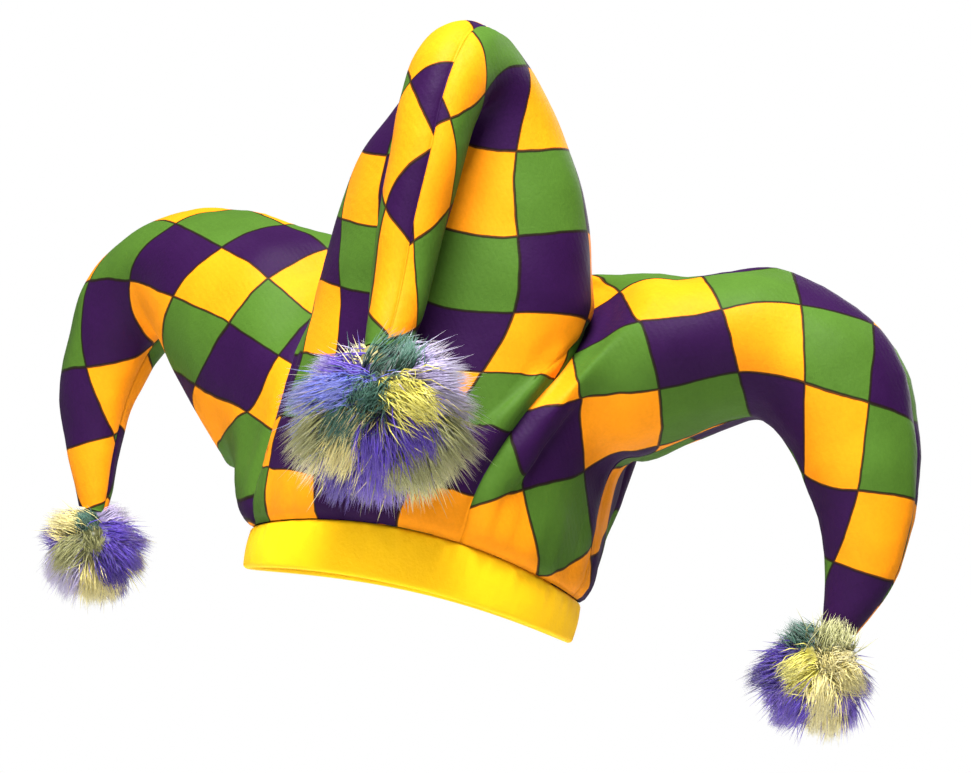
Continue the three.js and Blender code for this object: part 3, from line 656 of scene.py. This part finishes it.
def acrylic_pile():
    """Long acrylic craft fur: glossy fibres in mixed dyes, each lock in its own colour with frosted ends."""
    f = Finish("long_acrylic_pile", Roughness=0.5, Sheen_Weight=0.25, Sheen_Roughness=0.4, IOR=1.5)
    colour = f.add("VertexColor", {"layer_name": "pile"}).outputs[0]
    place = f.add("TexCoord").outputs["Object"]
    noise = f.add("TexNoise", i0=place, i2=PILE_SCALE, i3=2.0, i4=0.5)
    tone = f.add("MapRange", i0=noise.outputs[0], i1=0.25, i2=0.75, i3=0.8, i4=1.15)
    mix = f.add("Mix", {"data_type": "RGBA", "blend_type": "MULTIPLY"}, i0=1.0, i6=colour, i7=tone.outputs[0])
    return f.paint(mix.outputs[2])


PRINTED, PLAIN, PILE = printed_polyester(), plain_polyester(), acrylic_pile()

# How the print lies on each piece: turn in degrees, shift in squares, turned over or not, and where the
# cloth was eased as it was sewn
LAY = {
    "front_point_right": (-79.5, (-0.01, 6.23), 1, (
        (16, 27, 0.3, 0.33), (267, 3, -0.47, -0.07), (154, 72, -0.29, 0.01), (186, -10, -0.08, -0.39),
        (106, 15, -0.21, -0.5), (79, 58, 0.11, 0.49), (228, 25, 0.7, 0.04), (195, 57, -0.15, 0.18))),
    "front_point_left": (-76.4, (1.42, 6.17), -1, (
        (212, 53, 0.22, -0.34), (-2, 49, -0.1, 1.2), (120, 14, 0.18, -0.18), (122, 80, -0.11, 0.27),
        (160, 59, -0.12, 0.05), (35, 47, 0.09, -0.66), (87, 69, -0.37, 0.11), (87, 30, -0.05, 0.08),
        (153, 22, 0.25, -0.37))),
    "right_point_front": (-14.7, (-0.56, 4.76), -1, (
        (240, -29, -0.18, 0.08), (-22, 96, -0.06, 0.27), (141, 148, 0.19, -0.69), (81, 53, 0.06, -0.08),
        (200, 68, 0.39, -0.19), (51, 113, -0.05, 0.09), (26, 20, -0.01, -0.26), (138, 87, -0.2, 0.38),
        (175, 23, -0.51, -0.33), (186, 117, -0.08, 0.29), (105, 182, 0.22, 0.28), (-18, 41, 0.2, 0.08),
        (98, 126, -0.05, -0.12), (239, 16, 0.23, 0.28))),
    "left_point_front": (-166.1, (3.05, 3.86), 1, (
        (184, -23, 0.22, -0.26), (-29, 82, -0.69, 0.48), (124, 175, -0.27, -0.15), (162, 81, 0.25, 0.05),
        (60, 78, -0.3, 0.24), (44, 159, -0.02, -0.07), (12, 12, 1.67, -0.75), (152, 30, 0.03, -0.22),
        (156, 127, -0.25, -0.04), (120, 96, 0.17, 0.01), (18, 86, -0.01, 0.06))),
    "right_point_back": (-15.0, (-0.5, 4.77), 1), "left_point_back": (-166.0, (2.39, 3.24), -1),
    "back_panel": (0.0, (0.5, 0.5), 1),
}
# The hanging end of the front point, where the print lies by the place round the end and along its outer
# seam. Its own places start at the row of the bend, and take over from the flat ones across a few rows
# before and after it
BEND_ROW, OVER_FROM, OVER_ROWS = 18, 17, 3
END_LAY = {
    "front_point_right": (48.7, (0.61, -1.23), 1, (
        (5, 204, 0.66, 0.14), (31, -3, -0.21, 1.00), (0, 98, -0.71, 0.14), (40, 150, 1.25, 0.26),
        (0, 39, 0.69, -0.88), (0, 158, -1.09, -0.42), (40, 90, 0.63, -0.02), (40, 30, -0.50, 0.09),
        (20, 70, -0.34, 0.07), (17, 136, 0.15, -0.13))),
    "front_point_left": (-34.6, (2.23, -1.85), 1, (
        (-2, 208, -0.91, -0.11), (-3, 36, -0.61, 0.44), (-13, 128, -0.14, 0.25), (-21, 74, 0.54, 0.71),
        (-1, 157, 0.56, -0.17), (-4, 95, 0.04, -0.58), (-5, 61, 0.02, -0.51))),
}


def unrolled(grid, hand):
    """Places on the hanging end, in millimetres: round it from the outer seam, and along that seam from the
    bend."""
    run = np.concatenate([[0], np.cumsum(np.linalg.norm(np.diff(grid[:, -1], axis=0), axis=1))])
    run = (run - run[BEND_ROW * FINER])[:, None] * np.ones(grid.shape[1])
    return np.stack([hand * from_edge(grid)[1], run], -1)


def lay(name):
    """The function that gives a piece its places in the print, in squares, from its flat and its worn
    points."""
    def printing(flat, grid):
        """The places for the flat and the worn points of this piece."""
        w = placed(flat, *LAY[name])
        if name in END_LAY:
            hand = 1 if name == "front_point_right" else -1
            over = ease((np.arange(len(grid)) / FINER - OVER_FROM) / OVER_ROWS)[:, None, None]
            w = w + (placed(unrolled(grid, hand), *END_LAY[name]) - w) * over
        if name == "front_point_left":  # the order of the colours runs the other way on this piece
            w = np.stack([w[..., 1] + 1, 1 - w[..., 0]], -1)
        elif name in ("right_point_front", "right_point_back"):
            w = np.stack([w[..., 0] + 1, -w[..., 1]], -1)
        return w
    return printing


for name, p, hand, rows, lumps in (
        ("front_point_right", FRONT, 1, 26, 0.9), ("front_point_left", FRONT, -1, 26, 0.9),
        ("right_point_front", RIGHT, -1, 16, 1.1), ("right_point_back", RIGHT, 1, 16, 1.1),
        ("left_point_front", LEFT, 1, 18, 1.1), ("left_point_back", LEFT, -1, 18, 1.1)):
    cloth(name, half_point(p, hand, 8, rows, COARSE), half_point(p, hand, 8 * FINER, rows * FINER, FINE),
          1 if hand < 0 else -1, PRINTED, lay(name), lumps, ("low", "high"))
cloth("back_panel", back_panel(12, 12), back_panel(60, 72), -1, PRINTED, lay("back_panel"), 1.1, ())


def headband():
    """The band: a rounded strip on edge, 5 mm thick, carried round the head. Its section is a rounded
    rectangle whose faces swell a little, and along it the faces ripple slightly where the crown is sewn on.
    At the back a joint seam draws it in."""
    cells, tall_steps, cap_steps = 384, 13, 7
    edge = 2.3  # radius of the rounded edges
    swell_high, ripple_high, joint_deep, joint_degrees = 0.7, 0.35, 0.9, 1.6
    # Ripples: how many go round and where each starts, and their usual sum
    ripples, ripple_sum = ((31, 1), (47, 3), (73, 0)), 1.7
    deg = np.linspace(0, 360, cells, endpoint=False)[:, None]
    low, high = rim_at(deg), band_top_at(deg)
    t = np.linspace(0, 1, tall_steps)
    turn = np.linspace(-np.pi / 2, np.pi / 2, cap_steps + 2)
    side, none = np.full(tall_steps, BAND_WALL / 2), np.zeros(tall_steps)
    r = np.concatenate([side, BAND_WALL / 2 * np.sin(-turn)[1:-1], -side, BAND_WALL / 2 * np.sin(turn)[1:-1]])
    share = np.concatenate([t, np.ones(cap_steps), t[::-1], np.zeros(cap_steps)])
    cap = np.concatenate([none, np.cos(turn)[1:-1], none, -np.cos(turn)[1:-1]])
    z = (low + edge) + (high - low - 2 * edge) * share + cap * edge
    a = np.radians(deg)
    line = np.concatenate([MID_X * np.sin(a), -MID_Y * np.cos(a)], 1)
    out = unit(np.concatenate([np.sin(a) / MID_X, -np.cos(a) / MID_Y], 1))
    # 1 on the outer face, -1 on the inner one and 0 on the rounded edges
    face = np.sign(r) * (cap == 0)
    girth = np.radians(deg)
    swell = swell_high * np.sin(np.pi * np.clip(share, 0, 1)) * face
    three = sum(np.sin(k * girth + f) for k, f in ripples)
    ripple = ripple_high * three / ripple_sum * share**2 * face
    joint = -joint_deep * np.exp(-(((deg - 180) / joint_degrees) ** 2)) * face
    radius = r + swell + ripple + joint
    points = np.concatenate([line[:, None, :] + radius[..., None] * out[:, None, :], z[..., None]], -1)
    n, m = points.shape[:2]
    i = np.arange(n * m).reshape(n, m)
    after = np.roll(i, -1, 0)
    faces = np.stack([i, after, np.roll(after, -1, 1), np.roll(i, -1, 1)], -1).reshape(-1, 4)
    piece = build("headband_cloth", points.reshape(-1, 3), faces, PLAIN)
    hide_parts("headband")


headband()

# Dyes of the pile, each with the colour of its frosted ends
DYES = [(linear(a), linear(b)) for a, b in (
    ("#3A14A0", "#A282E6"), ("#2E3CB4", "#A9AFF0"), ("#0B4230", "#639482"), ("#CFC22E", "#F4EFA6"),
    ("#D8C870", "#FAF2CC"), ("#A294C4", "#F4EEF8"), ("#6C6E34", "#DCD89C"), ("#2A0E78", "#5C34B8"))]
VIOLET, BLUE, GREEN, YELLOW, CREAM, LILAC, OLIVE, DEEP = range(8)
# Patches of dye by where the locks lie as seen from the front: rightward and upward shares of the radius
FRONT_PATCHES = ((-0.28, 0.34, VIOLET), (-0.68, 0.26, LILAC), (-0.33, 0.57, CREAM), (-0.68, 0.0, BLUE),
                 (-0.54, 0.09, BLUE), (-0.11, 0.2, GREEN), (-0.39, -0.03, GREEN), (-0.77, -0.26, OLIVE),
                 (-0.91, -0.49, VIOLET), (-0.28, -0.25, CREAM), (-0.49, -0.49, CREAM), (-0.05, -0.42, VIOLET),
                 (-0.11, -0.65, VIOLET), (-0.32, -0.6, DEEP), (0.09, -0.83, OLIVE), (0.43, -0.68, YELLOW),
                 (0.35, -0.48, OLIVE), (0.37, -0.33, VIOLET), (0.26, 0.17, YELLOW), (0.09, -0.03, CREAM),
                 (0.43, -0.02, YELLOW), (0.35, 0.32, CREAM), (0.74, 0.17, LILAC), (0.82, -0.14, CREAM),
                 (0.66, -0.22, OLIVE), (0.82, -0.37, CREAM), (0.66, 0.48, LILAC), (0.5, 0.6, LILAC),
                 (0.2, 0.6, GREEN))
LEFT_PATCHES = ((-0.6, 0.6, CREAM), (0.0, 0.5, GREEN), (0.6, 0.6, LILAC), (-0.7, 0.0, VIOLET),
                (-0.1, 0.0, OLIVE), (0.5, 0.1, VIOLET), (-0.5, -0.6, LILAC), (0.1, -0.5, CREAM),
                (0.5, -0.6, DEEP), (-0.2, -0.8, VIOLET))
RIGHT_PATCHES = ((-0.5, 0.6, GREEN), (0.1, 0.6, OLIVE), (0.5, 0.5, VIOLET), (-0.8, 0.0, DEEP),
                 (-0.2, 0.0, YELLOW), (0.3, 0.1, CREAM), (-0.5, -0.5, VIOLET), (0.0, -0.5, CREAM),
                 (0.5, -0.4, VIOLET), (0.2, -0.8, LILAC))
# Rightward and upward as seen from the front, as directions of the hat
RIGHTWARD, UPWARD = np.array([0.893, 0.3905, 0.2237]), np.array([-0.1608, -0.1874, 0.969])


GOLDEN_ANGLE, SPOKE_JITTER = 2.39996, 0.16


def spokes(count, rng):
    """Directions spread evenly over a ball by the golden angle, each a little off."""
    i = np.arange(count)
    z = 1 - 2 * (i + 0.5) / count
    a = i * GOLDEN_ANGLE
    r = np.sqrt(1 - z * z)
    return unit(np.stack([r * np.cos(a), r * np.sin(a), z], -1) + rng.normal(size=(count, 3)) * SPOKE_JITTER)


# Pile of a pompom, as shares of its radius unless said: how far locks are swept from the parting, how far
# the parting turns to the front, the share of loose fibres, the core and its neck, which reaches up to the
# end of the point, and where the fibres have their roots
SWEEP, TO_FRONT, LOOSE_SHARE, ROOT, ROOT_NECK = 0.4, 0.7, 0.14, 0.46, 0.24
CORE, CORE_NECK, CORE_BUMP = 0.5, 0.24, 0.1
# The core's colour is darkened by the last of these, as painted shade inside the pile
NECK_TIGHT, BUMP_TIGHT, CORE_PAINTED_SHADE = 14, 40, 0.35
LONGEST, SHORTEST, PATCH_AT = 1.16, 0.78, 0.65  # of a lock, and where along it its colour counts
CORE_RINGS, CORE_SIDES = 40, 64
# Of the fibres: the spread of their roots and their aims, how they bow outward, wander and droop, and the
# radius at which their widths are in millimetres
ROOT_SPREAD, AIM_SPREAD, BOW, WANDER, DROOP, WIDE_AT = 0.24, 0.05, 0.3, 0.035, 0.05, 42


def pompom(name, p, radius, hang, seed, limit, patches, locks=60, fibres=16500, long=1.0, bare=10, short=0.0):
    """A ball of long pile round the tip of a point: a lumpy core, and fibres that leave it in pointed
    locks, swept down from a parting at the tip. Each fibre is a thin three-sided taper along a curve from
    the core to near the end of its lock. Locks that point upward as seen are kept shorter by the share
    short."""
    rng = np.random.default_rng(seed)
    tip = section(p, np.ones(1))[0][0]
    centre = tip + unit(np.array(hang)) * radius * (1 - TIP_DEPTH)
    front = np.cross(RIGHTWARD, UPWARD)
    lock = spokes(locks, rng)
    flat = np.array([[x, y] for x, y, _ in patches])
    up = unit(tip - centre)
    parting = unit(up + front * TO_FRONT)
    sweep = unit(lock - parting * SWEEP)
    facing = lock @ front > -0.25
    hidden = rng.integers(0, len(DYES), locks)
    frosted = rng.uniform(0.45, 1.0, locks)
    length = long * rng.uniform(SHORTEST, LONGEST, locks)
    seen = np.stack([sweep @ RIGHTWARD, sweep @ UPWARD], -1)
    length = np.minimum(length, long * (LONGEST - short * ease(seen @ (-0.35, 0.94))))
    seen = seen * length[:, None] * PATCH_AT
    nearest = np.argmin(np.linalg.norm(seen[:, None] - flat[None], axis=2), axis=1)
    which = np.where(facing, np.array([k for *_, k in patches])[nearest], hidden)
    dye, frost = np.array([a for a, _ in DYES])[which], np.array([b for _, b in DYES])[which]
    seat = unit(np.array([-centre[0], -centre[1], 0]))
    # Core: rings of latitude, with a bump at each lock
    th = np.linspace(0, np.pi, CORE_RINGS + 1)[1:-1, None]
    ph = np.linspace(0, 2 * np.pi, CORE_SIDES, endpoint=False)[None]
    ball = np.stack(np.broadcast_arrays(np.sin(th) * np.cos(ph), np.sin(th) * np.sin(ph), np.cos(th)), -1)
    ball = np.concatenate([ball.reshape(-1, 3), [[0, 0, 1.0], [0, 0, -1.0]]])
    near = ball @ lock.T
    neck = CORE_NECK * np.exp((ball @ up - 1) * NECK_TIGHT)
    bump = CORE_BUMP * np.exp((near.max(1) - 1) * BUMP_TIGHT)
    core = centre + ball * (radius * (CORE + neck + bump))[:, None]
    i = np.arange((CORE_RINGS - 1) * CORE_SIDES).reshape(CORE_RINGS - 1, CORE_SIDES)
    nxt = np.roll(i, -1, 1)
    q = np.stack([i[:-1], i[1:], nxt[1:], i[:-1], nxt[1:], nxt[:-1]], -1).reshape(-1, 3)
    top, end = len(ball) - 2, len(ball) - 1
    caps = np.concatenate([np.stack([np.full(CORE_SIDES, top), i[0], nxt[0]], 1),
                           np.stack([np.full(CORE_SIDES, end), nxt[-1], i[-1]], 1)])
    # Painted shade: the core takes the dye of its nearest lock, darkened as if in the shade of the pile round
    # it
    core_painted_shade_colour = dye[near.argmax(1)] * CORE_PAINTED_SHADE
    # Fibres: most belong to a lock, and about one in seven is loose
    own = rng.integers(0, locks, fibres)
    loose = rng.uniform(size=fibres) < LOOSE_SHARE
    start = unit(lock[own] + rng.normal(size=(fibres, 3)) * ROOT_SPREAD)
    # Within the angle bare, the pile parts round the end of the point
    open_cos, open_sin = np.cos(np.radians(bare)), np.sin(np.radians(bare))
    beside = parting * open_cos + unit(start - (start @ parting)[:, None] * parting) * open_sin
    start = np.where((start @ parting > open_cos)[:, None], beside, start)
    gather = rng.uniform(0.05, 0.55, (fibres, 1)) + loose[:, None] * 0.6
    aim = unit(sweep[own] + (start - lock[own]) * gather + rng.normal(size=(fibres, 3)) * AIM_SPREAD)
    full = np.where(loose, rng.uniform(0.7, 1.08, fibres), rng.uniform(0.72, 1.0, fibres))
    reach = radius * length[own] * full
    c = aim @ seat
    reach = np.where((c > 0.05) & (reach * c > limit), limit / np.maximum(c, 0.05), reach)
    root = centre + start * radius * (ROOT + ROOT_NECK * np.exp((start @ up - 1) * NECK_TIGHT))[:, None]
    last = centre + aim * reach[:, None] - [0, 0, radius * DROOP]
    middle = (root + last) / 2 + (start - aim) * radius * BOW
    middle = middle + rng.normal(size=(fibres, 3)) * radius * WANDER
    t = np.array([0, 0.55, 1.0])[:, None, None]
    line = (1 - t) ** 2 * root + 2 * t * (1 - t) * middle + t**2 * last
    e1 = unit(np.cross(last - root, rng.normal(size=(fibres, 3))))
    e2 = np.cross(unit(last - root), e1)
    wide = rng.uniform(0.3, 0.5, fibres)[:, None] * radius / WIDE_AT
    rings = [line[k] + (np.cos(a) * e1 + np.sin(a) * e2) * wide * w
             for k, w in ((0, 1.0), (1, 0.75)) for a in (0, 2 * np.pi / 3, 4 * np.pi / 3)]
    fibre = np.stack(rings + [line[2]], 1)
    one = [[a, (a + 1) % 3, 3 + (a + 1) % 3] for a in range(3)]
    one += [[a, 3 + (a + 1) % 3, 3 + a] for a in range(3)]
    one += [[3, 4, 6], [4, 5, 6], [5, 3, 6], [0, 2, 1]]
    fibre_faces = (np.array(one)[None] + 7 * np.arange(fibres)[:, None, None]).reshape(-1, 3) + len(core)
    tint = dye[own] * rng.uniform(0.7, 1.3, (fibres, 1))
    light = frost[own] * rng.uniform(0.85, 1.15, (fibres, 1))
    level = np.array([0] * 3 + [1] * 3 + [2])
    own_frost = (frosted[own] * rng.uniform(0.5, 1, fibres))[:, None, None]
    much = np.array([0.0, 0.3, 1.0])[level][None, :, None] * own_frost
    # Painted shade: each fibre is darker towards its root, deep in the pile, and full bright at its middle
    # and end
    shade = np.array([0.4, 0.95, 1.0])[level][None, :, None]
    colour = (tint[:, None] * (1 - much) + light[:, None] * much) * shade
    piece = build(name + "_pile", np.concatenate([core, fibre.reshape(-1, 3)]),
                  np.concatenate([q, caps, fibre_faces]), PILE,
                  colour=np.concatenate([core_painted_shade_colour, colour.reshape(-1, 3)]))
    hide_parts(name)


pompom("pompom_front", FRONT, FRONT_POMPOM, (0.4, -0.2, -1), 11, FRONT_POMPOM * 0.85, FRONT_PATCHES,
       long=1.12, bare=28, short=0.32)
for name, p, seed, patches in (
        ("pompom_left", LEFT, 12, LEFT_PATCHES), ("pompom_right", RIGHT, 13, RIGHT_PATCHES)):
    hang = (*(p["dir"][:2] * -0.3), -1)
    pompom(name, p, SIDE_POMPOM, hang, seed, SIDE_POMPOM * 2, patches, locks=44, fibres=13000, long=0.92)


# Floor, light and camera
def floor():
    """A wide plain disc, level, below the hat."""
    sides, height, inner, outer = 96, -450.0, 20, 2600
    a = np.linspace(0, 2 * np.pi, sides + 1)[:-1]
    level = np.full(sides, height)
    rings = np.concatenate([np.stack([np.cos(a) * r, np.sin(a) * r, level], 1) for r in (inner, outer)])
    i = np.arange(sides)
    j = np.roll(i, -1)
    mesh = bpy.data.meshes.new("floor")
    faces = np.stack([i, i + sides, j + sides, j], 1).tolist() + [i.tolist()]
    mesh.from_pydata((rings / 1000).tolist(), [], faces)
    f = Finish("matt_white_studio_paper", Roughness=0.9)
    f.shader.inputs["Base Color"].default_value = rgba("#F4F4F2")
    mesh.materials.append(f.material)
    piece = bpy.data.objects.new("floor", mesh)
    bpy.context.scene.collection.objects.link(piece)


def lamp(name, place, aim, size, power):
    """A square soft white light at a place, in metres, turned towards another."""
    light = bpy.data.lights.new(name, "AREA")
    light.size, light.energy = size, power
    piece = bpy.data.objects.new(name, light)
    z = unit(np.array(place, float) - np.array(aim, float))
    x = unit(np.cross([0, 0, 1.0], z))
    turned = np.stack([x, np.cross(z, x), z], 1)
    piece.matrix_world = Matrix(np.vstack([np.c_[turned, place], [0, 0, 0, 1]]).tolist())
    bpy.context.scene.collection.objects.link(piece)


floor()
lamp("key", (0.15, -1.1, 1.7), (0, 0, 0.12), 0.8, 120)
lamp("front", (0.1, -1.9, 0.25), (0, 0, 0.1), 0.9, 8)
lamp("back", (0.4, 1.6, 1.0), (0, 0, 0.1), 1.2, 20)
world = bpy.data.worlds.new("studio")
world.use_nodes = True
tree = world.node_tree
# White paper behind, and a weaker even light from all round
paper = tree.nodes["Background"]
paper.inputs[0].default_value = (1, 1, 1, 1)
paper.inputs[1].default_value = 1.0
room = tree.nodes.new("ShaderNodeBackground")
room.inputs[0].default_value = (1, 1, 1, 1)
room.inputs[1].default_value = 0.095
seen = tree.nodes.new("ShaderNodeLightPath")
both = tree.nodes.new("ShaderNodeMixShader")
tree.links.new(seen.outputs["Is Camera Ray"], both.inputs[0])
tree.links.new(room.outputs[0], both.inputs[1])
tree.links.new(paper.outputs[0], both.inputs[2])
tree.links.new(both.outputs[0], tree.nodes["World Output"].inputs[0])
bpy.context.scene.world = world
bpy.context.scene.view_settings.view_transform = "Standard"

# The camera that was fitted to the outline of the band in the photo
camera = bpy.data.objects.new("camera", bpy.data.cameras.new("camera"))
camera.data.sensor_width = 36
camera.data.lens = 83.5
camera.data.clip_end = 200
camera.matrix_world = Matrix(((0.8930, -0.1608, 0.4203, 0.5442), (0.3905, -0.1874, -0.9013, -1.1326),
                              (0.2237, 0.9690, -0.1045, -0.0030), (0, 0, 0, 1)))
bpy.context.scene.collection.objects.link(camera)
bpy.context.scene.camera = camera
